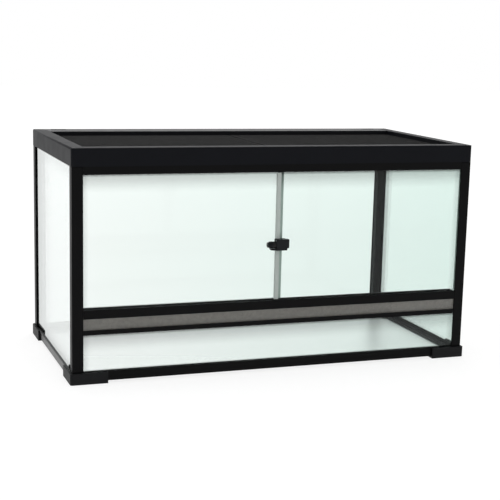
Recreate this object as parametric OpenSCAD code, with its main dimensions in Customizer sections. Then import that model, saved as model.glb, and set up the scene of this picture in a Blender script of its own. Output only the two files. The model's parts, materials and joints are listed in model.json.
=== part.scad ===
// Flat-pack glass reptile terrarium with two sliding front doors, a front
// ventilation strip and a recessed mesh top. Millimetres. The origin is on
// the floor under the middle of the cabinet: +X to the viewer's right,
// the doors face -Y, +Z is up.

/* [Cabinet] */
// Width over the corner posts
frame_w = 900; // [700:10:1200]
// Depth over the corner posts
frame_d = 450; // [400:10:600]
// Height from the floor to the top of the rim
total_h = 487; // [440:1:700]
// Width of each face of a corner post
post_w = 23.5; // [23:0.5:30]
// Thickness of every glass pane
glass_t = 4; // [3:0.5:4]

/* [Bottom frame and feet] */
// Gap between the floor and the bottom rails
foot_base = 5; // [4:0.5:8]
// How far a foot stands proud of the rails
foot_wall = 5; // [5:0.5:8]
// Height of the feet
foot_h = 24; // [18:1:26]
// Length of each leg of a foot
foot_leg = 79; // [60:1:110]
// Height of the bottom rails
bottom_rail_h = 20; // [18:0.5:30]

/* [Front] */
// Height of the mid rail's top edge, where the doors start
mid_top = 155.5; // [140:0.5:200]
// Height of the mid rail
mid_rail_h = 19; // [19:0.5:28]
// Visible height of the ventilation strip
vent_h = 24.5; // [16:0.5:40]
// Height of the bar between the ventilation strip and the lower pane
vent_bar_h = 9; // [9:0.5:16]
// Height of the header rail above the doors
header_h = 16; // [16:0.5:24]
// Width over which the closed doors overlap
door_lap = 16.2; // [12:0.2:18]
// Distance between the two door panes, centre to centre
door_pitch = 9; // [9:0.5:10]

/* [Top frame] */
// Height of the top frame
cap_h = 37.5; // [34:0.5:50]
// How far the top frame stands proud of the posts
cap_proud = 1; // [0.5:0.5:2]
// Width of the rim seen from above
rim_w = 28; // [28:1:40]
// Extra width of the rim at the rear
rear_strip = 44; // [30:1:60]
// Depth of the screen ledge below the rim
screen_recess = 16; // [15:0.5:18]
// Length of a cable inlet
inlet_l = 36; // [30:1:50]

/* [Lock] */
// Height of the lock's centre
lock_z = 277; // [200:1:380]
// Width of the lock's housing, without its nose
lock_w = 24; // [19:0.5:30]
// Height of the lock's housing
lock_h = 24; // [20:1:28]
// Length of the turning knob
knob_l = 15.5; // [14:0.5:20]
// Radius of the turning knob
knob_r = 7.3; // [5:0.1:7.3]

/* [Nets] */
// Gaps across each top screen
screen_gaps_x = 12; // [4:1:12]
// Gaps from front to back of each top screen
screen_gaps_y = 8; // [4:1:8]
// Gaps along the ventilation strip
vent_gaps_x = 36; // [12:1:36]
// Rows of gaps in the ventilation strip
vent_gaps_z = 2; // [1:1:2]

/* [Hidden] */

$fn = 48;
eps = 0.01;          // overlap that joins two shapes of one piece
reach = 1000;        // longer than any piece, for cutting shapes
wall = 3;            // wall of the moulded rails
fin = 3;             // inner wall that holds a pane
slot_w = glass_t + 0.4;
slot_slack = 0.2;    // gap between a pane and each side of its slot
pane_u = wall + slot_slack;            // a fixed pane's outer face, from the frame's face
pane_core = 14;      // solid part of a post, before its side slot
jamb_core = 12;      // solid part of a front post, before its door slot
jamb_depth = 15.5;   // depth of a door's seal and of the front rails' tongues
joint_gap = 0.1;     // gap where one rail meets another

bottom_rail_top = foot_base + bottom_rail_h;
side_wall_drop = 5;  // the side rails' outer wall is lower than the inner one
cap_z = total_h - cap_h;
header_z = cap_z - header_h;
mid_z = mid_top - mid_rail_h;
vent_z = mid_z - vent_h;
vent_bar_z = vent_z - vent_bar_h;
span_x = frame_w - 2 * post_w;         // clear width between the front posts

ledge_flange = 15;   // the bottom rails' flange that carries the base pane
flange_t = 2;
pane_seat = 6;       // height of a pane's seat above the rail's underside
base_z = foot_base + flange_t + 0.2;
base_t = 5;
base_gap = 0.4;
base_out = wall + slot_w + fin + base_gap;
bead = 4.5;          // leg of the sealing bead's triangle

cap_w = frame_w + 2 * cap_proud;
cap_d = frame_d + 2 * cap_proud;
cap_corner_r = 6;
rim_edge_r = 4;
cap_web_z = cap_h - 22;                // underside of the web over the panes
ledge_w = 12;
ledge_z = cap_h - screen_recess - wall;
pane_top = cap_z + cap_web_z - 1;
pane_side = frame_d / 2 - pane_core - slot_slack;      // side panes' half length
pane_rear = frame_w / 2 - pane_core - slot_slack;      // rear pane's half length
pane_bottom = foot_base + pane_seat + slot_slack;
front_slot = 5;      // depth of the vent bar's slot for the lower front pane
front_pane_side = frame_w / 2 - jamb_core - 2;
front_pane_top = vent_bar_z + front_slot - slot_slack;
tongue_l = 10;       // reach of a front rail's tongue into the post's door slot
tongue_root = 0.4;
bar_u = 12;          // depth of the vent bar

track_u = 2.5;                         // the door tracks' outer face, from the frame's face
track_t = 18.8;
track_end = 0.5;     // gap between a track's end and the post
track_lip = 1;       // the upper track's reach below the header
door_u = 4.9;                          // outer pane's face, from the frame's face
door_in_u = door_u + door_pitch;       // inner pane's face
groove_w = glass_t + 1.6;
upper_groove = 11;
lower_groove = 4;
lower_track_h = 10;
door_bottom = mid_top - lower_groove + 0.3;
door_lift = 6;                         // door's depth in the upper track
door_top = header_z + door_lift;
door_side = span_x / 2 + 5.5;          // a door's outer edge, from the middle
lap_x = -1.7;                          // middle of the doors' overlap
left_door_end = lap_x + door_lap / 2;
right_door_end = lap_x - door_lap / 2;
strip_t = 0.8;
strip_reach = 8;
strip_gap = 1.5;
strip_cut = 0.5;     // gap between the lock and the strip it interrupts

net_t = 1;
net_bar = 1.4;
net_u = 5;
net_hold = 2;        // depth of the net's edge in its slots
net_slot_d = 2.3;
net_reach = 9;       // reach of the net's ends into the posts' door slots

screen_bar_w = 16;
screen_bar_h = 6;
screen_gap = 0.5;
centre_rib = 3;
centre_rib_h = 5;
centre_base = 32;
screen_z = cap_z + ledge_z + wall;
screen_out = cap_w / 2 - rim_w - screen_gap;
screen_in = centre_rib / 2 + screen_gap;
screen_w = screen_out - screen_in;
recess_d = cap_d - 2 * rim_w - rear_strip;              // front to back between the rim's walls
recess_y = -rear_strip / 2;
screen_d = recess_d - 2 * screen_gap;
spline_u = 2;                          // spline's groove, from a bar's outer face
spline_w = 3;
spline_groove = 2.4;                   // depth of the groove

inlet_x = frame_w / 2 - 56;            // middle of a cable inlet
inlet_u = 12;                          // from the top frame's outer face
inlet_w = 12.5;
shutter_l = inlet_l + 4.5;
shutter_t = 2;
shutter_z = 31.3;                      // above the top frame's underside
shutter_u = 9.1;
shutter_w = 15.6;
tab_t = 3;
tab_gap = 1;
runner_t = 1.6;

screw_at = 6.5;                        // corner screws, from the frame's faces
screw_r = 2;
screw_bore_r = 2.05;
head_r = 4;
head_h = 2.2;
head_sink = 0.3;                       // foot screws' heads, above the floor
cross_w = 1;                           // cross recess in a screw's head
cross_d = 1.2;
foot_screw_l = 52;
cap_screw_l = 64;

lock_spine = 1.3;                      // housing's thickness over the pane's edge
lock_x = right_door_end - joint_gap - lock_spine;      // left side of the lock's housing
lock_out = -5;                         // front of the lock, from the frame's face
lock_corner_r = 1.5;
nose_l = 4.5;                          // nose at the right end of the housing
nose_h = 19.5;                         // level with the housing's top
nose_set = 0.6;                        // nose's setback from the housing's front
lip_l = 13;                            // finger lip under the knob
lip_t = 4.3;
lip_end_t = 3;
lip_u = 4.2;
liner_t = 0.6;
liner_in = 2.5;                        // liners' setback from the housing's edge
jaw_u = door_u + glass_t + liner_t;    // rear jaw behind the right door's pane
jaw_t = 1.5;
knob_u = 2;                            // knob's axis, from the frame's face
shaft_r = 1.5;
shaft_l = 14;
shaft_slack = 0.05;
knob_gap = 0.3;                        // between the knob and the housing
knob_bevel = 0.8;
groove_r = 0.8;                        // grip grooves round the knob
stub_r = 5.5;                          // stub on the knob's free end
stub_l = 3.5;
cam_at = 2;                            // cam's place along the knob
cam_l = 6;
cam_seat_r = 5.3;
cam_reach = 11.4;
cam_tip_r = 3;

function fy(u) = -frame_d / 2 + u;     // place behind the front face

// Extrusions along the cabinet's width and depth: a profile's first axis
// points into the cabinet and its second axis points up.
module along_x(l) rotate([90, 0, 90]) linear_extrude(l, center = true) children();
module along_y(l) rotate([90, 0, 0]) linear_extrude(l, center = true) children();

module box(x0, x1, u0, u1, z0, z1)
  translate([x0, fy(u0), z0]) cube([x1 - x0, u1 - u0, z1 - z0]);

module rounded_square(w, d, r) {
  square([w - 2 * r, d], center = true);
  square([w, d - 2 * r], center = true);
  for (x = [-1, 1], y = [-1, 1])
    translate([x * (w / 2 - r), y * (d / 2 - r)]) circle(r);
}

module front_mitre(w, d, m)
  linear_extrude(reach) polygon([[-w / 2, -d / 2], [w / 2, -d / 2],
    [w / 2 - m, -d / 2 + m], [-w / 2 + m, -d / 2 + m]]);

module left_mitre(w, d, m)
  linear_extrude(reach) polygon([[-w / 2, -d / 2], [-w / 2 + m, -d / 2 + m],
    [-w / 2 + m, d / 2 - m], [-w / 2, d / 2]]);

module front_side(w, d, m, z) intersection() {
  translate([0, -d / 2, z]) along_x(w) children();
  front_mitre(w, d, m);
}

module left_side(w, d, m, z) intersection() {
  translate([-w / 2, 0, z]) along_y(d) children();
  left_mitre(w, d, m);
}

module corners(w, d) for (x = [-1, 1], y = [-1, 1]) translate([x * w / 2, y * d / 2]) children();

module screw_holes(z) corners(frame_w - 2 * screw_at, frame_d - 2 * screw_at)
  translate([0, 0, z]) cylinder(r = screw_bore_r, h = total_h);

// Bottom frame
module bottom_profile() {
  square([wall, bottom_rail_h]);
  square([wall + slot_w + eps, pane_seat]);
  translate([wall + slot_w, 0]) square([fin, bottom_rail_h]);
  square([ledge_flange, flange_t]);
}

module bottom_front() difference() {
  front_side(frame_w, frame_d, ledge_flange, foot_base) bottom_profile();
  screw_holes(-1);
}

module bottom_left() difference() {
  left_side(frame_w, frame_d, ledge_flange, foot_base) bottom_profile();
  screw_holes(-1);
  translate([-frame_w / 2 - 1, -frame_d / 2 + post_w, bottom_rail_top - side_wall_drop])
    cube([wall + 2, frame_d - 2 * post_w, bottom_rail_h]);
}

module front_bottom_rail() color([0.07, 0.07, 0.08]) bottom_front();
module rear_bottom_rail() color([0.07, 0.07, 0.08]) mirror([0, 1, 0]) bottom_front();
module left_bottom_rail() color([0.07, 0.07, 0.08]) bottom_left();
module right_bottom_rail() color([0.07, 0.07, 0.08]) mirror([1, 0, 0]) bottom_left();

// Feet: an angle that wraps the corner of the bottom frame, front left
module foot_plan(t) intersection() {
  translate([frame_w / 2, frame_d / 2])
    rounded_square(frame_w + 2 * foot_wall, frame_d + 2 * foot_wall, foot_wall);
  translate([-foot_wall, -foot_wall]) union() {
    square([foot_leg, t]);
    square([t, foot_leg]);
  }
}

module foot() difference() {
  translate([-frame_w / 2, -frame_d / 2]) union() {
    linear_extrude(foot_base) foot_plan(ledge_flange + foot_wall);
    linear_extrude(foot_h) foot_plan(foot_wall - joint_gap);
  }
  corners(frame_w - 2 * screw_at, frame_d - 2 * screw_at) {
    translate([0, 0, -1]) cylinder(r = head_r + slot_slack, h = 1 + head_sink + head_h);
    cylinder(r = screw_bore_r, h = foot_h);
  }
}

module front_left_foot() color([0.12, 0.12, 0.13]) foot();
module front_right_foot() color([0.12, 0.12, 0.13]) mirror([1, 0, 0]) foot();
module rear_left_foot() color([0.12, 0.12, 0.13]) mirror([0, 1, 0]) foot();
module rear_right_foot() color([0.12, 0.12, 0.13]) mirror([1, 0, 0]) mirror([0, 1, 0]) foot();

module screw(l) difference() {
  union() {
    cylinder(r = head_r, h = head_h);
    cylinder(r = screw_r, h = l);
  }
  for (a = [0, 90]) rotate([0, 0, a]) cube([1.2 * head_r, cross_w, 2 * cross_d], center = true);
}

module foot_screws() color([0.5, 0.5, 0.52])
  corners(frame_w - 2 * screw_at, frame_d - 2 * screw_at) translate([0, 0, head_sink]) screw(foot_screw_l);

// Corner posts, drawn for the front left and the rear left corners
module post_blank() square([post_w, post_w]);

module side_slot() translate([wall, pane_core]) square([slot_w, post_w]);

module front_post() difference() {
  translate([-frame_w / 2, -frame_d / 2, bottom_rail_top])
    linear_extrude(cap_z - bottom_rail_top) difference() {
      post_blank();
      side_slot();
      translate([jamb_core, wall]) square([post_w, post_w]);
    }
  screw_holes(-1);
}

module rear_post() difference() {
  translate([-frame_w / 2, frame_d / 2, bottom_rail_top]) mirror([0, 1, 0])
    linear_extrude(cap_z - bottom_rail_top) difference() {
      post_blank();
      side_slot();
      translate([pane_core, wall]) square([post_w, slot_w]);
    }
  screw_holes(-1);
}

module front_left_post() color([0.06, 0.06, 0.07]) front_post();
module front_right_post() color([0.06, 0.06, 0.07]) mirror([1, 0, 0]) front_post();
module rear_left_post() color([0.06, 0.06, 0.07]) rear_post();
module rear_right_post() color([0.06, 0.06, 0.07]) mirror([1, 0, 0]) rear_post();

// Fixed panes
module base_glass() color([0.8, 0.9, 0.87], 0.3)
  translate([-frame_w / 2 + base_out, fy(base_out), base_z])
    cube([frame_w - 2 * base_out, frame_d - 2 * base_out, base_t]);

module bead_profile() translate([wall + slot_w + fin, 0]) polygon([[0, 0], [bead, 0], [0, bead]]);

module base_seals() color([0.1, 0.1, 0.1]) for (m = [0, 1]) {
  mirror([0, m, 0]) front_side(frame_w, frame_d, ledge_flange, base_z + base_t) bead_profile();
  mirror([m, 0, 0]) left_side(frame_w, frame_d, ledge_flange, base_z + base_t) bead_profile();
}

module left_glass() color([0.8, 0.9, 0.87], 0.3)
  translate([-frame_w / 2 + pane_u, -pane_side, pane_bottom])
    cube([glass_t, 2 * pane_side, pane_top - pane_bottom]);

module right_glass() color([0.8, 0.9, 0.87], 0.3)
  translate([frame_w / 2 - pane_u - glass_t, -pane_side, pane_bottom])
    cube([glass_t, 2 * pane_side, pane_top - pane_bottom]);

module rear_glass() color([0.8, 0.9, 0.87], 0.3)
  translate([-pane_rear, frame_d / 2 - pane_u - glass_t, pane_bottom])
    cube([2 * pane_rear, glass_t, pane_top - pane_bottom]);

module lower_front_glass() color([0.8, 0.9, 0.87], 0.3)
  box(-front_pane_side, front_pane_side, pane_u, pane_u + glass_t, pane_bottom, front_pane_top);

// Rails across the front. Their tongues plug into the posts' door slots.
module front_rail(z) translate([0, fy(0), z]) along_x(span_x - 2 * joint_gap) children();

module tongues(u0, u1, z0, z1) for (m = [0, 1]) mirror([m, 0, 0])
  box(span_x / 2 - tongue_root, span_x / 2 + tongue_l, u0, u1, z0, z1);

module net_slot() translate([net_u - slot_slack, 0]) square([net_t + 2 * slot_slack, net_slot_d]);

module vent_bar() color([0.06, 0.06, 0.07]) {
  front_rail(vent_bar_z) difference() {
    square([bar_u, vent_bar_h]);
    translate([wall, -eps]) square([slot_w, front_slot]);
    translate([0, vent_bar_h - net_slot_d + eps]) net_slot();
  }
  tongues(pane_u + glass_t + 0.6, bar_u, vent_bar_z + 1, vent_z - 1);
}

module net(w, h, nx, ny) difference() {
  square([w, h]);
  for (i = [0 : nx - 1], j = [0 : ny - 1])
    translate([(i + 0.5) * (w - net_bar) / nx + net_bar / 2, (j + 0.5) * (h - net_bar) / ny + net_bar / 2])
      square([(w - net_bar) / nx - net_bar, (h - net_bar) / ny - net_bar], center = true);
}

module vent_mesh() color([0.45, 0.45, 0.44])
  translate([-span_x / 2 - net_reach, fy(net_u + net_t), vent_z - net_hold]) rotate([90, 0, 0])
    linear_extrude(net_t) net(span_x + 2 * net_reach, vent_h + 2 * net_hold, vent_gaps_x, vent_gaps_z);

module mid_rail() color([0.06, 0.06, 0.07]) {
  front_rail(mid_z) difference() {
    square([post_w, mid_rail_h]);
    translate([track_u - joint_gap, mid_rail_h - lower_track_h - joint_gap])
      square([track_t + 2 * joint_gap, reach]);
    translate([0, -eps]) net_slot();
  }
  tongues(wall + slot_slack, wall + jamb_depth - slot_slack, mid_z + wall,
    mid_top - lower_track_h - 2 * joint_gap);
}

module track_grooves(z) for (u = [door_u, door_in_u])
  translate([u - track_u - (groove_w - glass_t) / 2, z]) square([groove_w, reach]);

module lower_door_track() color([0.1, 0.1, 0.11])
  translate([0, fy(track_u), mid_top - lower_track_h]) along_x(span_x - 2 * track_end) difference() {
    square([track_t, lower_track_h]);
    track_grooves(lower_track_h - lower_groove);
  }

module header_rail() color([0.06, 0.06, 0.07]) {
  front_rail(header_z) difference() {
    square([post_w, header_h]);
    translate([track_u - joint_gap, -reach])
      square([track_t + 2 * joint_gap, reach + header_h - flange_t]);
  }
  tongues(wall + slot_slack, wall + jamb_depth - slot_slack, cap_z - flange_t, cap_z - joint_gap);
}

module upper_door_track() color([0.1, 0.1, 0.11])
  translate([0, fy(track_u), header_z - track_lip]) along_x(span_x - 2 * track_end) difference() {
    square([track_t, header_h - flange_t - joint_gap + track_lip]);
    translate([0, upper_groove + track_lip - reach]) track_grooves(0);
  }

module jamb_seal() box(door_side + 1, frame_w / 2 - jamb_core, wall + 0.2, wall + jamb_depth - 0.2,
  mid_top + 0.5, header_z - 0.5);

module left_jamb_seal() color([0.2, 0.2, 0.2]) mirror([1, 0, 0]) jamb_seal();
module right_jamb_seal() color([0.2, 0.2, 0.2]) jamb_seal();

// Top frame
module cap_profile() {
  square([wall, cap_h - rim_edge_r]);
  translate([rim_edge_r, cap_h - rim_edge_r]) circle(rim_edge_r);
  translate([rim_edge_r, cap_h - wall]) square([rim_w - rim_edge_r, wall]);
  translate([rim_w - wall, ledge_z]) square([wall, cap_h - ledge_z]);
  translate([rim_w - wall, ledge_z]) square([wall + ledge_w, wall]);
  translate([0, cap_web_z]) square([rim_w, wall]);
  translate([cap_proud + wall + slot_w, 0]) square([fin, cap_web_z + wall]);
}

module cap_outline() translate([0, 0, cap_z - 1]) linear_extrude(cap_h + 2)
  rounded_square(cap_w, cap_d, cap_corner_r);

module cap_screw_holes() {
  screw_holes(cap_z);
  corners(frame_w - 2 * screw_at, frame_d - 2 * screw_at)
    translate([0, 0, total_h - head_h - joint_gap]) cylinder(r = head_r + slot_slack, h = 2 * head_h);
}

module cap_front() difference() {
  intersection() {
    front_side(cap_w, cap_d, rim_w + ledge_w, cap_z) cap_profile();
    cap_outline();
  }
  cap_screw_holes();
}

module cap_left() difference() {
  intersection() {
    left_side(cap_w, cap_d, rim_w + ledge_w, cap_z) cap_profile();
    cap_outline();
  }
  cap_screw_holes();
}

// Two runners under the rim that carry a cable shutter, in the profile's axes
module shutter_runners() {
  runner_z = shutter_z - slot_slack - runner_t;
  runner_u = shutter_u - joint_gap - slot_slack - runner_t;
  translate([runner_u, runner_z]) square([runner_t, cap_h - wall + eps - runner_z]);
  translate([runner_u, runner_z]) square([2 * runner_t, runner_t]);
  translate([rim_w - wall - runner_t, runner_z]) square([runner_t + eps, runner_t]);
}

module front_cap_rail() color([0.05, 0.05, 0.07]) cap_front();

module strip_box(x, u0, u1, z0, z1)
  translate([-x, -cap_d / 2 + u0, cap_z + z0]) cube([2 * x, u1 - u0, z1 - z0]);

// The wide strip behind the screens, between the side rails and over their ledges
module rear_strip_shelf() {
  x = cap_w / 2 - rim_w - joint_gap;
  u = rim_w + rear_strip;
  step_z = ledge_z + wall + joint_gap;
  strip_box(x, rim_w - eps, u, cap_h - wall, cap_h);
  strip_box(x, u - wall, u, step_z, cap_h - wall + eps);
  strip_box(x - ledge_w, u - wall, u, ledge_z, step_z + eps);
  strip_box(x - ledge_w, u - eps, u + ledge_w, ledge_z, ledge_z + wall);
}

module rear_cap_rail() color([0.05, 0.05, 0.07]) mirror([0, 1, 0]) {
  rear_strip_shelf();
  difference() {
    cap_front();
    for (m = [0, 1]) mirror([m, 0, 0])
      translate([inlet_x - inlet_l / 2, -cap_d / 2 + inlet_u, cap_z - 1]) cube([inlet_l, inlet_w, cap_h + 2]);
  }
  for (m = [0, 1]) mirror([m, 0, 0])
    translate([inlet_x - inlet_l / 2, -cap_d / 2, cap_z]) along_x(2 * inlet_l + 10) shutter_runners();
}

module left_cap_rail() color([0.05, 0.05, 0.07]) cap_left();
module right_cap_rail() color([0.05, 0.05, 0.07]) mirror([1, 0, 0]) cap_left();

module cap_centre_bar() color([0.05, 0.05, 0.07]) translate([0, recess_y, 0]) {
  translate([-centre_base / 2, -recess_d / 2 + ledge_w + joint_gap, cap_z + ledge_z])
    cube([centre_base, recess_d - 2 * ledge_w - 2 * joint_gap, wall]);
  translate([-centre_rib / 2, -recess_d / 2 + joint_gap, screen_z + eps])
    cube([centre_rib, recess_d - 2 * joint_gap, centre_rib_h]);
  translate([-centre_rib / 2, -recess_d / 2 + ledge_w + wall, screen_z - 1])
    cube([centre_rib, recess_d - 2 * ledge_w - 2 * wall, centre_rib_h / 2]);
}

module cap_screws() color([0.5, 0.5, 0.52])
  corners(frame_w - 2 * screw_at, frame_d - 2 * screw_at)
    translate([0, 0, total_h - joint_gap]) mirror([0, 0, 1]) screw(cap_screw_l);

// A cable shutter, drawn on the right and drawn back to leave its inlet open
module shutter() {
  x1 = inlet_x - inlet_l / 2 + 2 * tab_t + 0.5;
  translate([x1 - shutter_l, cap_d / 2 - shutter_u - shutter_w, cap_z + shutter_z])
    cube([shutter_l, shutter_w, shutter_t]);
  translate([x1 - 2 * tab_t, cap_d / 2 - inlet_u - inlet_w + tab_gap, cap_z + shutter_z])
    cube([tab_t, inlet_w - 2 * tab_gap, cap_h - shutter_z - 0.5]);
}

module left_cable_shutter() color([0.1, 0.1, 0.11]) mirror([1, 0, 0]) shutter();
module right_cable_shutter() color([0.1, 0.1, 0.11]) shutter();

// Lift-out screens, drawn on the right
module screen_profile() difference() {
  square([screen_bar_w, screen_bar_h]);
  translate([spline_u, screen_bar_h - spline_groove]) square([spline_w, reach]);
}

module at_screen() translate([screen_in + screen_w / 2, recess_y, 0]) children();

module screen_front() at_screen()
  front_side(screen_w, screen_d, screen_bar_w, screen_z) screen_profile();

module screen_rear() at_screen() mirror([0, 1, 0])
  front_side(screen_w, screen_d, screen_bar_w, screen_z) screen_profile();

module screen_left() at_screen()
  left_side(screen_w, screen_d, screen_bar_w, screen_z) screen_profile();

module screen_right() at_screen() mirror([1, 0, 0])
  left_side(screen_w, screen_d, screen_bar_w, screen_z) screen_profile();

module screen_mesh() {
  edge = spline_u + spline_w;
  translate([screen_in + edge, recess_y - screen_d / 2 + edge, screen_z + screen_bar_h])
    linear_extrude(net_t) net(screen_w - 2 * edge, screen_d - 2 * edge, screen_gaps_x, screen_gaps_y);
}

module spline_profile() translate([spline_u + joint_gap, 0])
  square([spline_w - 2 * joint_gap, spline_groove - joint_gap + net_t]);

module screen_spline() at_screen() for (m = [0, 1]) {
  spline_z = screen_z + screen_bar_h - spline_groove + joint_gap;
  mirror([0, m, 0]) front_side(screen_w, screen_d, screen_bar_w, spline_z) spline_profile();
  mirror([m, 0, 0]) left_side(screen_w, screen_d, screen_bar_w, spline_z) spline_profile();
}

module left_screen_front_bar() color([0.08, 0.08, 0.09]) mirror([1, 0, 0]) screen_front();
module left_screen_rear_bar() color([0.08, 0.08, 0.09]) mirror([1, 0, 0]) screen_rear();
module left_screen_outer_bar() color([0.08, 0.08, 0.09]) mirror([1, 0, 0]) screen_right();
module left_screen_inner_bar() color([0.08, 0.08, 0.09]) mirror([1, 0, 0]) screen_left();
module left_screen_mesh() color([0.25, 0.25, 0.26]) mirror([1, 0, 0]) screen_mesh();
module left_screen_spline() color([0.04, 0.04, 0.04]) mirror([1, 0, 0]) screen_spline();
module right_screen_front_bar() color([0.08, 0.08, 0.09]) screen_front();
module right_screen_rear_bar() color([0.08, 0.08, 0.09]) screen_rear();
module right_screen_outer_bar() color([0.08, 0.08, 0.09]) screen_right();
module right_screen_inner_bar() color([0.08, 0.08, 0.09]) screen_left();
module right_screen_mesh() color([0.25, 0.25, 0.26]) screen_mesh();
module right_screen_spline() color([0.04, 0.04, 0.04]) screen_spline();

// Doors. The left one runs behind the right one.
module left_door_glass() color([0.8, 0.9, 0.87], 0.3)
  box(-door_side, left_door_end, door_in_u, door_in_u + glass_t, door_bottom, door_top);

module right_door_glass() color([0.8, 0.9, 0.87], 0.3)
  box(right_door_end, door_side, door_u, door_u + glass_t, door_bottom, door_top);

// A channel over the left edge, at x, of a door's pane
module edge_strip(x, u, z0, z1) difference() {
  box(x - strip_t, x + strip_reach, u - strip_t, u + glass_t + strip_t, z0, z1);
  box(x, reach, u, u + glass_t, z0 - 1, z1 + 1);
}

module left_door_edge_strip() color([0.6, 0.63, 0.61]) mirror([1, 0, 0])
  edge_strip(-left_door_end, door_in_u, mid_top + strip_gap, header_z - track_lip - strip_gap);

module right_door_edge_strip() color([0.6, 0.63, 0.61]) {
  edge_strip(right_door_end, door_u, mid_top + strip_gap, lock_z - lock_h / 2 - strip_cut);
  edge_strip(right_door_end, door_u, lock_z + lock_h / 2 + strip_cut, header_z - track_lip - strip_gap);
}

// Lock: a housing that grips the right door's free edge, and a turning knob
// in front of the left door, whose cam comes close to the left door's pane
module lock_plate(l, h, u0, u1) translate([lock_x + l / 2, fy(u1), lock_z + (lock_h - h) / 2])
  rotate([90, 0, 0]) linear_extrude(u1 - u0) rounded_square(l, h, lock_corner_r);

module finger_lip() translate([lock_x, fy(lip_u), lock_z - lock_h / 2]) rotate([90, 0, 0])
  linear_extrude(lip_u - lock_out - nose_set) polygon([[lock_corner_r, 0], [lock_corner_r, lip_t],
    [-lip_l, lip_t], [-lip_l, lip_t - lip_end_t], [0, 0]]);

module lock_body() color([0.05, 0.05, 0.06]) difference() {
  union() {
    lock_plate(lock_w, lock_h, lock_out, door_u - liner_t);
    lock_plate(lock_w + nose_l, nose_h, lock_out + nose_set, door_u - liner_t);
    lock_plate(lock_w, lock_h, jaw_u, jaw_u + jaw_t);
    finger_lip();
    box(lock_x, right_door_end - joint_gap, door_u - 1, jaw_u + eps, lock_z - lock_h / 2 + lock_corner_r,
      lock_z + lock_h / 2 - lock_corner_r);
  }
  translate([lock_x - 1, fy(knob_u), lock_z]) rotate([0, 90, 0])
    cylinder(r = shaft_r + shaft_slack, h = shaft_l + 1.2);
}

module lock_liners() color([0.15, 0.15, 0.15]) for (u = [door_u - liner_t, door_u + glass_t])
  box(right_door_end + 0.5, lock_x + lock_w - liner_in, u, u + liner_t,
    lock_z - lock_h / 2 + liner_in, lock_z + lock_h / 2 - liner_in);

module knob_place() translate([lock_x - knob_gap, fy(knob_u), lock_z]) rotate([0, -90, 0]) children();

module lock_knob() color([0.05, 0.05, 0.06]) knob_place() difference() {
  rotate_extrude() polygon([[0, -shaft_l], [shaft_r, -shaft_l], [shaft_r, 0], [knob_r, 0],
    [knob_r, cam_at], [cam_seat_r, cam_at], [cam_seat_r, cam_at + cam_l], [knob_r, cam_at + cam_l],
    [knob_r, knob_l - knob_bevel], [knob_r - knob_bevel, knob_l], [stub_r, knob_l],
    [stub_r, knob_l + stub_l], [0, knob_l + stub_l]]);
  for (a = [0 : 30 : 330]) rotate([0, 0, a])
    translate([knob_r + groove_r / 2, 0, cam_at + cam_l + 2]) cylinder(r = groove_r, h = knob_l);
}

module lock_cam() color([0.12, 0.12, 0.12]) knob_place() translate([0, 0, cam_at + joint_gap])
  linear_extrude(cam_l - 2 * joint_gap) difference() {
    union() {
      circle(knob_r - slot_slack);
      translate([-cam_tip_r, 0]) square([2 * cam_tip_r, cam_reach - cam_tip_r]);
      translate([0, cam_reach - cam_tip_r]) circle(cam_tip_r);
    }
    circle(cam_seat_r + shaft_slack);
  }

front_bottom_rail();
rear_bottom_rail();
left_bottom_rail();
right_bottom_rail();
front_left_foot();
front_right_foot();
rear_left_foot();
rear_right_foot();
foot_screws();
front_left_post();
front_right_post();
rear_left_post();
rear_right_post();
base_glass();
base_seals();
left_glass();
right_glass();
rear_glass();
lower_front_glass();
vent_bar();
vent_mesh();
mid_rail();
lower_door_track();
header_rail();
upper_door_track();
left_jamb_seal();
right_jamb_seal();
front_cap_rail();
rear_cap_rail();
left_cap_rail();
right_cap_rail();
cap_centre_bar();
cap_screws();
left_cable_shutter();
right_cable_shutter();
left_screen_front_bar();
left_screen_rear_bar();
left_screen_outer_bar();
left_screen_inner_bar();
left_screen_mesh();
left_screen_spline();
right_screen_front_bar();
right_screen_rear_bar();
right_screen_outer_bar();
right_screen_inner_bar();
right_screen_mesh();
right_screen_spline();
left_door_glass();
left_door_edge_strip();
right_door_glass();
right_door_edge_strip();
lock_body();
lock_liners();
lock_knob();
lock_cam();
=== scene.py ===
"""Looks of a glass terrarium with sliding front doors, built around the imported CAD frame.
Metres, +Z up, the doors face -Y, the origin is on the floor under the middle."""

import json
from math import cos, pi, sin
import bpy
from mathutils import Matrix, Vector


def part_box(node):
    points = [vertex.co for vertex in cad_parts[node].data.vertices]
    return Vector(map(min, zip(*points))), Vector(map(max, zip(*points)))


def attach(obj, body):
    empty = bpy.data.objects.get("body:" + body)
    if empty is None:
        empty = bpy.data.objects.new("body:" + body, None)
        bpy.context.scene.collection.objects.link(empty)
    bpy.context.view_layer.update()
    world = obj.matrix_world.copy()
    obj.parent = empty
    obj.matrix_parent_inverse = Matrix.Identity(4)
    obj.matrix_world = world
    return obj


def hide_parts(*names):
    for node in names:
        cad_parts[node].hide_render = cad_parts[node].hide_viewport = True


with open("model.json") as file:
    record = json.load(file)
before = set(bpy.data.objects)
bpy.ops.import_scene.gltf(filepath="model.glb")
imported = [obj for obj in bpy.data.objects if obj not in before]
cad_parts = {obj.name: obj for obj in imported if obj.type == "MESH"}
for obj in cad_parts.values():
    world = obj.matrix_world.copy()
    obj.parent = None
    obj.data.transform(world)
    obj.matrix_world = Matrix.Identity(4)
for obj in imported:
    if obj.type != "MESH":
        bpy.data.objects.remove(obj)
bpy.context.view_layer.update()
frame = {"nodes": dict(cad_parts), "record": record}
nodes = frame["nodes"]

# ---------------------------------------------------------------- camera

# Side of the square picture, focal length and principal point, all in pixels
IMAGE = 500
FOCAL_PX = 1217.209
PRINCIPAL_PX = (275, 265)
# Width of the camera's sensor, in millimetres
SENSOR = 36
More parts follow.
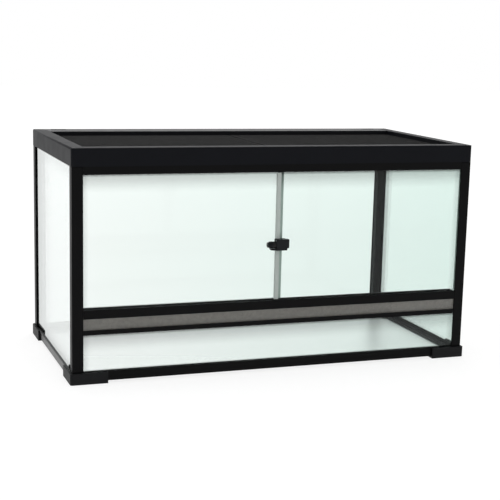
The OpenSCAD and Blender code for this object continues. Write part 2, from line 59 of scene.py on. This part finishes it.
# Place of the camera, and the picture's right and down directions
CAMERA_AT = Vector((-0.92339, -2.61687, 0.72504))
CAMERA_RIGHT = Vector((0.93605866, -0.35075188, 0.02770003))
CAMERA_DOWN = Vector((-0.04075946, -0.18629952, -0.98164716))
# Nothing farther than this is seen
FAR_CLIP = 50


def make_camera():
    data = bpy.data.cameras.new("photo_camera")
    data.sensor_width = SENSOR
    data.lens = FOCAL_PX / IMAGE * SENSOR
    data.shift_x = (IMAGE / 2 - PRINCIPAL_PX[0]) / IMAGE
    data.shift_y = (PRINCIPAL_PX[1] - IMAGE / 2) / IMAGE
    data.clip_end = FAR_CLIP
    camera = bpy.data.objects.new("photo_camera", data)
    bpy.context.collection.objects.link(camera)
    back = CAMERA_RIGHT.cross(-CAMERA_DOWN)
    turn = Matrix((CAMERA_RIGHT, -CAMERA_DOWN, back)).transposed()
    camera.matrix_world = Matrix.Translation(CAMERA_AT) @ turn.to_4x4()
    bpy.context.scene.camera = camera


# ------------------------------------------------------- node tree helpers

BLACK, WHITE = (0.0, 0.0, 0.0, 1.0), (1.0, 1.0, 1.0, 1.0)
# Most of a noise pattern lies between these levels
NOISE_LOW, NOISE_HIGH = 0.3, 0.7
# How deep a surface's fine grain is
GRAIN_DEPTH = 0.0003


class Tree:
    """A material's or world's node tree with short calls to add and link nodes."""

    def __init__(self, tree):
        tree.nodes.clear()
        self.tree = tree

    def add(self, kind, sockets=None, **settings):
        n = self.tree.nodes.new(kind)
        for name, value in settings.items():
            setattr(n, name, value)
        for name, value in (sockets or {}).items():
            self.put(value, n.inputs[name])
        return n

    def put(self, value, socket):
        if isinstance(value, bpy.types.NodeSocket):
            self.tree.links.new(value, socket)
        else:
            socket.default_value = value

    def show(self, shader, output="ShaderNodeOutputMaterial"):
        self.add(output, {"Surface": shader.outputs[0]})

    def math(self, operation, a, b=0.0, clamp=False):
        return self.add("ShaderNodeMath", {0: a, 1: b}, operation=operation, use_clamp=clamp).outputs[0]

    def remap(self, value, low, high, to_low, to_high, smooth=False):
        return self.add("ShaderNodeMapRange", {"Value": value, "From Min": low, "From Max": high,
                                               "To Min": to_low, "To Max": to_high},
                        interpolation_type="SMOOTHSTEP" if smooth else "LINEAR").outputs[0]

    def mix(self, factor, a, b):
        n = self.add("ShaderNodeMix", data_type="RGBA")
        for name, value in (("Factor_Float", factor), ("A_Color", a), ("B_Color", b)):
            self.put(value, next(s for s in n.inputs if s.identifier == name))
        return next(s for s in n.outputs if s.identifier == "Result_Color")

    def noise(self, place, scale, detail=2.0):
        return self.add("ShaderNodeTexNoise", {"Vector": place, "Scale": scale,
                                               "Detail": detail}).outputs["Fac"]

    def uneven(self, place, scale, value, below, above, detail=2.0):
        """A number that wanders around value, as far as below under it and above over it."""
        return self.remap(self.noise(place, scale, detail), NOISE_LOW, NOISE_HIGH,
                          value - below, value + above)

    def grain(self, place, scale, strength):
        """Normals of a surface with fine grain."""
        return self.add("ShaderNodeBump", {"Height": self.noise(place, scale), "Strength": strength,
                                           "Distance": GRAIN_DEPTH}).outputs[0]

    def blend(self, share, a, b):
        """A shader that is b by share, and a by what is left."""
        return self.add("ShaderNodeMixShader", {0: share, 1: a.outputs[0], 2: b.outputs[0]})

    def seen_by(self, *rays):
        """1 for the kinds of light path named in rays, and 0 for all others."""
        path = self.add("ShaderNodeLightPath")
        seen = path.outputs[rays[0]]
        for ray in rays[1:]:
            seen = self.math("MAXIMUM", seen, path.outputs[ray])
        return seen


def new_material(name):
    material = bpy.data.materials.new(name)
    material.use_nodes = True
    return material, Tree(material.node_tree)


def rgba(colour, share=1.0):
    return tuple(c * share for c in colour) + (1.0,)


# --------------------------------------------------------------- materials

# Repeats per metre of the patterns in colour, in gloss and in the fine grain
PLASTIC_CLOUD, PLASTIC_GLOSS, PLASTIC_GRAIN = 9.0, 28.0, 900.0
RUBBER_CLOUD, RUBBER_GRAIN = 60.0, 500.0
METAL_CLOUD, METAL_GLOSS = 140.0, 400.0
# A cloudy colour runs between these shares of itself: from DARK, or for plastic from
# PLASTIC_DARK, to LIGHT
PLASTIC_DARK, DARK, LIGHT = 0.80, 0.75, 1.25
# How far uneven gloss takes the roughness below and above its value
PLASTIC_UNEVEN = (0.02, 0.03)
METAL_UNEVEN = (0.06, 0.08)


def plastic(name, colour, rough, specular, grain=0.05):
    """Black moulded plastic: slightly cloudy colour, fine mould grain and uneven gloss."""
    material, t = new_material(name)
    place = t.add("ShaderNodeTexCoord").outputs["Object"]
    cloud = t.noise(place, PLASTIC_CLOUD, detail=4.0)
    tone = t.mix(cloud, rgba(colour, PLASTIC_DARK), rgba(colour, LIGHT))
    gloss = t.uneven(place, PLASTIC_GLOSS, rough, *PLASTIC_UNEVEN, detail=5.0)
    t.show(t.add("ShaderNodeBsdfPrincipled", {"Base Color": tone, "Roughness": gloss,
                                              "Normal": t.grain(place, PLASTIC_GRAIN, grain),
                                              "Specular IOR Level": specular}))
    return material


def rubber(name, colour, rough=0.75):
    """Dull soft rubber or sealant."""
    material, t = new_material(name)
    place = t.add("ShaderNodeTexCoord").outputs["Object"]
    tone = t.mix(t.noise(place, RUBBER_CLOUD, detail=3.0), rgba(colour, DARK), rgba(colour, LIGHT))
    t.show(t.add("ShaderNodeBsdfPrincipled", {"Base Color": tone, "Roughness": rough,
                                              "Normal": t.grain(place, RUBBER_GRAIN, 0.1),
                                              "Specular IOR Level": 0.25}))
    return material


def metal(name, colour, rough, metallic=1.0):
    """Wire or screw metal, bare or coated, with uneven gloss."""
    material, t = new_material(name)
    place = t.add("ShaderNodeTexCoord").outputs["Object"]
    tone = t.mix(t.noise(place, METAL_CLOUD, detail=4.0), rgba(colour, DARK), rgba(colour, LIGHT))
    gloss = t.uneven(place, METAL_GLOSS, rough, *METAL_UNEVEN)
    t.show(t.add("ShaderNodeBsdfPrincipled", {"Base Color": tone, "Roughness": gloss,
                                              "Metallic": metallic}))
    return material


# Stretched noise, per metre, the grey it runs between, and what shines through it
STRIP_STREAKS = (600.0, 600.0, 6.0)
STRIP_TONES = ((0.72, 0.78, 0.74), (0.90, 0.96, 0.93))
STRIP_CLEAR = (0.86, 0.90, 0.88)
# Share of the light that the strip's plastic stops
STRIP_BODY = 0.72


def edge_strip(name):
    """Translucent grey plastic of the doors' edge strips."""
    material, t = new_material(name)
    place = t.add("ShaderNodeTexCoord").outputs["Object"]
    streaks = t.add("ShaderNodeMapping", {"Vector": place, "Scale": STRIP_STREAKS}).outputs[0]
    tone = t.mix(t.noise(streaks, 1.0, detail=3.0), *(rgba(c) for c in STRIP_TONES))
    body = t.add("ShaderNodeBsdfPrincipled", {"Base Color": tone, "Roughness": 0.35,
                                              "Specular IOR Level": 0.4})
    clear = t.add("ShaderNodeBsdfTransparent", {"Color": rgba(STRIP_CLEAR)})
    t.show(t.blend(STRIP_BODY, clear, body))
    return material


# Share of the light that glass mirrors where it is met square on
GLASS_F0 = 0.012
# Half of the width over which a pane's tint and its painted shade change from left to right
TINT_SHADE_REACH = 0.43
# The cut edges of a pane look through its whole width and are deep green. A face is a cut
# edge where its normal lies less than this share along the pane's thin axis
EDGE_TINT = (0.22, 0.36, 0.31)
EDGE_SHARE = 0.5
# Smears: repeats per metre, the noise levels that they fill, and how much rougher they are
SMEARS = 7.0
SMEAR_LOW, SMEAR_HIGH = 0.4, 0.8
SMEAR_ROUGH = 0.04
# Each band of painted shade on a pane along its rails and posts: how wide it is, and how clear at its
# darkest
SOFT_SHADE, SOFT_CLEAR = 0.042, 0.79
STEEP_SHADE, STEEP_CLEAR = 0.0065, 0.52
LOW_SHADE, LOW_CLEAR = 0.004, 0.60
SIDE_SHADE, SIDE_CLEAR = 0.016, 0.88


def painted_frame_shade(t, side, height, window):
    """How clear each face of a pane is over its window, with painted shade along the frame:
    a soft grey band of it under the top rail, steeper close to it, a thin line of it along
    the bottom rail and a faint soft band of it at each side."""
    low_side, high_side, low, high = window
    parts = (t.remap(height, high - SOFT_SHADE, high, 1.0, SOFT_CLEAR, smooth=True),
             t.remap(height, high - STEEP_SHADE, high, 1.0, STEEP_CLEAR),
             t.remap(height, low, low + LOW_SHADE, LOW_CLEAR, 1.0),
             t.remap(side, low_side, low_side + SIDE_SHADE, SIDE_CLEAR, 1.0, smooth=True),
             t.remap(side, high_side - SIDE_SHADE, high_side, 1.0, SIDE_CLEAR, smooth=True))
    painted_shade = parts[0]
    for part in parts[1:]:
        painted_shade = t.math("MULTIPLY", painted_shade, part)
    return painted_shade


def glass(name, thin_axis, left_tint, right_tint_and_shade, window=None, shine=0.3, power=5.0, rough=0.01,
          mirrored=(1.0, 1.0, 1.0)):
    """Clear float glass with a faint green. Its colour darkens from left to right, painted shade
    for a dimmer reflection on the right, and window, the lowest and highest place along the
    pane and up it, says where painted shade darkens its edges along the frame. shine and power
    set how much it mirrors at a slant, and mirrored in what colour."""
    material, t = new_material(name)
    coords = t.add("ShaderNodeTexCoord")
    place = t.add("ShaderNodeSeparateXYZ", {0: coords.outputs["Object"]})
    # Painted shade: the colour darkens towards the right for a dimmer reflection there
    across = t.remap(place.outputs["X"], -TINT_SHADE_REACH, TINT_SHADE_REACH, 0.0, 1.0)
    tint_and_shade = t.mix(across, rgba(left_tint), rgba(right_tint_and_shade))
    # Painted shade along the rails and posts darkens the pane's colour
    if window is not None:
        side = place.outputs["X" if thin_axis == "Y" else "Y"]
        tint_and_shade = t.mix(painted_frame_shade(t, side, place.outputs["Z"], window), BLACK, tint_and_shade)
    normal = t.add("ShaderNodeSeparateXYZ", {0: coords.outputs["Normal"]})
    edge = t.math("LESS_THAN", t.math("ABSOLUTE", normal.outputs[thin_axis]), EDGE_SHARE)
    clear = t.add("ShaderNodeBsdfTransparent", {"Color": t.mix(edge, tint_and_shade, rgba(EDGE_TINT))})
    facing = t.add("ShaderNodeLayerWeight").outputs["Facing"]
    grazing = t.math("MULTIPLY", t.math("POWER", facing, power), shine)
    share = t.math("ADD", grazing, GLASS_F0, clamp=True)
    smear = t.remap(t.noise(coords.outputs["Object"], SMEARS, detail=3.0),
                    SMEAR_LOW, SMEAR_HIGH, rough, rough + SMEAR_ROUGH)
    mirror = t.add("ShaderNodeBsdfGlossy", {"Color": rgba(mirrored), "Roughness": smear})
    t.show(t.blend(share, clear, mirror))
    return material


# --------------------------------------------------------- world and floor

# The light of the world falls to these levels towards the front and towards the left,
# over these ranges of a direction's Y and X
FRONT_LEVEL, FRONT_FADE = 0.30, (-0.35, 0.45)
LEFT_LEVEL, LEFT_FADE = 0.35, (-0.5, -0.05)


def make_world():
    """White behind the object and for the background, dimmer in front and on the left."""
    world = bpy.data.worlds.new("studio")
    bpy.context.scene.world = world
    world.use_nodes = True
    t = Tree(world.node_tree)
    way = t.add("ShaderNodeSeparateXYZ", {0: t.add("ShaderNodeTexCoord").outputs["Generated"]})
    level = t.math("MULTIPLY", t.remap(way.outputs["Y"], *FRONT_FADE, FRONT_LEVEL, 1.0, smooth=True),
                   t.remap(way.outputs["X"], *LEFT_FADE, LEFT_LEVEL, 1.0, smooth=True))
    studio = t.add("ShaderNodeBackground", {"Color": WHITE, "Strength": level})
    plain = t.add("ShaderNodeBackground", {"Color": WHITE, "Strength": 1.0})
    seen = t.seen_by("Is Camera Ray", "Is Transmission Ray")
    t.show(t.blend(seen, studio, plain), "ShaderNodeOutputWorld")


# Half of the floor's side
FLOOR_REACH = 12.0
# The paper's spots, per metre, and the two tones that they run between
PAPER_SPOTS = 3.0
PAPER_TONES = ((0.78, 0.78, 0.78), (0.82, 0.82, 0.82))
# The floor as it is seen is paper of this tone, with a glow of its own that rises from
# NEAR_GLOW to FAR_GLOW between NEAR and FAR, measured from the origin
SEEN_PAPER = 0.28
NEAR_GLOW, FAR_GLOW = 0.80, 0.92
NEAR, FAR = 0.9, 3.0


def floor_paper():
    material, t = new_material("floor_paper")
    place = t.add("ShaderNodeTexCoord").outputs["Object"]
    tone = t.mix(t.noise(place, PAPER_SPOTS, detail=3.0), *(rgba(c) for c in PAPER_TONES))
    paper = t.add("ShaderNodeBsdfDiffuse", {"Color": tone})
    shaded = t.add("ShaderNodeBsdfDiffuse", {"Color": rgba((1.0, 1.0, 1.0), SEEN_PAPER)})
    away = t.add("ShaderNodeVectorMath", {0: place}, operation="LENGTH").outputs["Value"]
    level = t.remap(away, NEAR, FAR, NEAR_GLOW, FAR_GLOW)
    light = t.add("ShaderNodeEmission", {"Color": WHITE, "Strength": level})
    glow = t.add("ShaderNodeAddShader", {0: shaded.outputs[0], 1: light.outputs[0]})
    seen = t.seen_by("Is Camera Ray", "Is Glossy Ray", "Is Transmission Ray")
    t.show(t.blend(seen, paper, glow))
    return material


def make_floor():
    """A wide pale floor that blends into the white background and keeps the shadow. What
    is seen of it is mostly even white; other light meets plain pale paper."""
    mesh = bpy.data.meshes.new("floor")
    corners = ((-1, -1), (1, -1), (1, 1), (-1, 1))
    mesh.from_pydata([(x * FLOOR_REACH, y * FLOOR_REACH, 0.0) for x, y in corners], [], [(0, 1, 2, 3)])
    mesh.materials.append(floor_paper())
    floor = bpy.data.objects.new("floor", mesh)
    bpy.context.collection.objects.link(floor)


def area_lamp(name, place, target, size, power, mirrored=True):
    data = bpy.data.lights.new(name, "AREA")
    data.shape = "RECTANGLE"
    data.size, data.size_y = size
    data.energy = power
    lamp = bpy.data.objects.new(name, data)
    bpy.context.collection.objects.link(lamp)
    way = Vector(target) - Vector(place)
    turn = way.to_track_quat("-Z", "Y").to_matrix().to_4x4()
    lamp.matrix_world = Matrix.Translation(Vector(place)) @ turn
    lamp.visible_glossy = mirrored


def make_lamps():
    area_lamp("top_softbox", place=(-0.2, 0.1, 2.6), target=(0.0, 0.0, 0.3), size=(2.6, 2.0), power=30.0)
    area_lamp("left_softbox", place=(-2.9, 0.3, 1.2), target=(0.0, 0.0, 0.25), size=(1.6, 1.6), power=14.0)
    area_lamp("front_fill", place=(0.3, -3.6, 1.9), target=(0.0, 0.0, 0.25), size=(2.4, 1.4), power=19.0,
              mirrored=False)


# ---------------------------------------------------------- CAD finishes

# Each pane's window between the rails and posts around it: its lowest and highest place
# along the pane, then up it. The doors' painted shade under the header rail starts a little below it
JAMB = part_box("front_right_post")[0].x
SHADE_DROP = 0.001
DOOR_WINDOW = (-JAMB, JAMB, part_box("mid_rail")[1].z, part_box("header_rail")[0].z - SHADE_DROP)
LOWER_WINDOW = (-JAMB, JAMB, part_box("front_bottom_rail")[1].z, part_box("vent_bar")[0].z)
SIDE_WINDOW = (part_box("front_left_post")[1].y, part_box("rear_left_post")[0].y,
               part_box("left_bottom_rail")[1].z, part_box("left_cap_rail")[0].z)
# What each face of a pane lets through, at its left and its right end where the two differ:
# the glass's faint green, with a darker right end that is painted shade for a dimmer reflection there
FRONT_TINTS_AND_SHADE = ((0.941, 0.960, 0.951), (0.846, 0.914, 0.891))
LOWER_TINTS_AND_SHADE = ((0.962, 0.980, 0.972), (0.865, 0.930, 0.908))
BASE_TINTS_AND_SHADE = ((0.990, 0.992, 0.991), (0.982, 0.982, 0.980))
BACK_TINT = (0.985, 0.995, 0.990)
SIDE_TINT = (0.955, 0.965, 0.963)
# How the side panes and the base mirror
SIDE_SHINE = {"shine": 1.2, "power": 3.0, "mirrored": (0.95, 0.975, 0.965)}
BASE_SHINE = {"shine": 0.8, "power": 4.0, "rough": 0.3}


def make_finishes():
    """A material for each slot whose nodes look alike, and one for each node that has its
    own look."""
    return {
        "frame_plastic": plastic("frame_plastic", (0.0045, 0.0045, 0.0048), rough=0.42, specular=0.08),
        "cap_plastic": plastic("cap_plastic", (0.0060, 0.0066, 0.0090), rough=0.48, specular=0.10),
        "rear_cap_rail": plastic("rear_cap_plastic", (0.0062, 0.0068, 0.0092), rough=0.42, specular=0.26),
        "left_bottom_rail": plastic("side_rail_plastic", (0.0060, 0.0060, 0.0062), rough=0.33,
                                    specular=0.55),
        "foot_plastic": plastic("foot_plastic", (0.0110, 0.0112, 0.0122), rough=0.50, specular=0.14),
        "track_plastic": plastic("track_plastic", (0.008, 0.008, 0.009), rough=0.45, specular=0.10),
        "screen_frame_plastic": plastic("screen_frame_plastic", (0.008, 0.008, 0.008), rough=0.90,
                                        specular=0.03),
        "shutter_plastic": plastic("shutter_plastic", (0.006, 0.006, 0.006), rough=0.50, specular=0.08),
        "lock_plastic": plastic("lock_plastic", (0.0075, 0.0088, 0.0105), rough=0.30, specular=0.17,
                                grain=0.02),
        "lock_rubber": rubber("lock_rubber", (0.02, 0.02, 0.02)),
        "seal_rubber": rubber("seal_rubber", (0.60, 0.64, 0.62)),
        "spline_rubber": rubber("spline_rubber", (0.006, 0.006, 0.006)),
        "black_sealant": rubber("black_sealant", (0.008, 0.008, 0.008), rough=0.50),
        "strip_plastic": edge_strip("strip_plastic"),
        "vent_wire": metal("vent_wire", (0.385, 0.377, 0.350), rough=0.60, metallic=0.2),
        "screen_wire": metal("screen_wire", (0.008, 0.008, 0.008), rough=0.70, metallic=0.0),
        "screw_steel": metal("screw_steel", (0.09, 0.09, 0.095), rough=0.35),
        "door_glass": glass("door_glass", "Y", *FRONT_TINTS_AND_SHADE, window=DOOR_WINDOW),
        "lower_front_glass": glass("lower_front_glass", "Y", *LOWER_TINTS_AND_SHADE, window=LOWER_WINDOW),
        "rear_glass": glass("rear_glass", "Y", BACK_TINT, BACK_TINT),
        "left_glass": glass("left_glass", "X", SIDE_TINT, SIDE_TINT, window=SIDE_WINDOW, **SIDE_SHINE),
        "right_glass": glass("right_glass", "X", BACK_TINT, BACK_TINT, **SIDE_SHINE),
        "base_glass": glass("base_glass", "Z", *BASE_TINTS_AND_SHADE, **BASE_SHINE),
    }


# Width of the rounding on each slot's sharp edges, and on the posts'
BEVELS = {"frame_plastic": 0.0006, "cap_plastic": 0.0008, "foot_plastic": 0.0010,
          "track_plastic": 0.0003, "screen_frame_plastic": 0.0005, "shutter_plastic": 0.0004,
          "lock_plastic": 0.0004, "screw_steel": 0.0002}
POST_BEVEL = 0.0018
BEVEL_STEPS = 2
# Edges that turn by more than this many radians are sharp
SHARP_ANGLE = 0.6
# Corners closer than this are one corner
JOIN_DISTANCE = 0.00001


def soften(piece, width):
    """Joins a CAD mesh's corners and rounds its sharp edges by width."""
    weld = piece.modifiers.new("join", "WELD")
    weld.merge_threshold = JOIN_DISTANCE
    bevel = piece.modifiers.new("round", "BEVEL")
    bevel.width = width
    bevel.segments = BEVEL_STEPS
    bevel.limit_method = "ANGLE"
    bevel.angle_limit = SHARP_ANGLE


def dress_cad(finishes):
    """Gives each CAD node its own finish, or else its slot's, and rounds the edges of the
    posts and of the slots in BEVELS."""
    for part in frame["record"]["subparts"]:
        name, slot_name = part["node"], part["material_slot"]
        piece = nodes[name]
        finish = finishes.get(name) or finishes[slot_name]
        if not piece.material_slots:
            piece.data.materials.append(finish)
        for s in piece.material_slots:
            s.material = finish
        if name.endswith("_post"):
            soften(piece, POST_BEVEL)
        elif slot_name in BEVELS:
            soften(piece, BEVELS[slot_name])


# -------------------------------------------------------------- wire nets

WIRE_SIDES = 6
# Each layer's wires lie this share of their radius off the net's middle
LAYER_SHARE = 0.9
# Distance from wire to wire, and the wires' radius
VENT_PITCH, VENT_RADIUS = 0.0009, 0.00036
SCREEN_PITCH, SCREEN_RADIUS = 0.0016, 0.00016
# Numbers of the axes that run through the nets' thickness
Y_AXIS, Z_AXIS = 1, 2


def add_wire(points, faces, start, end, radius, turn):
    """Adds a straight wire from start to end. turn gives its two cross directions."""
    base = len(points)
    for centre in (start, end):
        for i in range(WIRE_SIDES):
            angle = 2 * pi * i / WIRE_SIDES
            points.append(centre + turn[0] * (cos(angle) * radius) + turn[1] * (sin(angle) * radius))
    near = [base + i for i in range(WIRE_SIDES)]
    far = [i + WIRE_SIDES for i in near]
    for i in range(WIRE_SIDES):
        j = (i + 1) % WIRE_SIDES
        faces.append((near[i], near[j], far[j], far[i]))
    faces.append(tuple(reversed(near)))
    faces.append(tuple(far))


def wire_net(name, node, pitch, radius, flat, material, body):
    """Two crossed layers of straight wires in the space of a CAD net. flat is the axis
    across the net's thickness."""
    low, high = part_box(node)
    middle = (low + high) / 2
    axes = [a for a in range(3) if a != flat]
    across = Vector([float(i == flat) for i in range(3)])
    points, faces = [], []
    for along, other, side in ((axes[0], axes[1], 1.0), (axes[1], axes[0], -1.0)):
        count = int((high[other] - low[other] - 2 * radius) / pitch)
        first = middle[other] - count * pitch / 2
        sideways = Vector([float(i == other) for i in range(3)])
        for i in range(count + 1):
            start = middle.copy()
            start[other] = first + i * pitch
            start += across * (side * radius * LAYER_SHARE)
            end = start.copy()
            start[along], end[along] = low[along], high[along]
            turn = (sideways, across) if side > 0 else (across, sideways)
            add_wire(points, faces, start, end, radius, turn)
    mesh = bpy.data.meshes.new(name)
    mesh.from_pydata(points, [], faces)
    mesh.validate()
    mesh.materials.append(material)
    net = bpy.data.objects.new(name, mesh)
    bpy.context.collection.objects.link(net)
    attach(net, body)
    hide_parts(node)


def make_nets(finishes):
    wire_net("vent_wire_net", "vent_mesh", VENT_PITCH, VENT_RADIUS, Y_AXIS, finishes["vent_wire"],
             "cabinet")
    for side in ("left", "right"):
        wire_net(side + "_screen_wire_net", side + "_screen_mesh", SCREEN_PITCH, SCREEN_RADIUS, Z_AXIS,
                 finishes["screen_wire"], side + "_screen")


bpy.context.scene.view_settings.view_transform = "Standard"
make_camera()
make_world()
make_floor()
make_lamps()
finishes = make_finishes()
dress_cad(finishes)
make_nets(finishes)
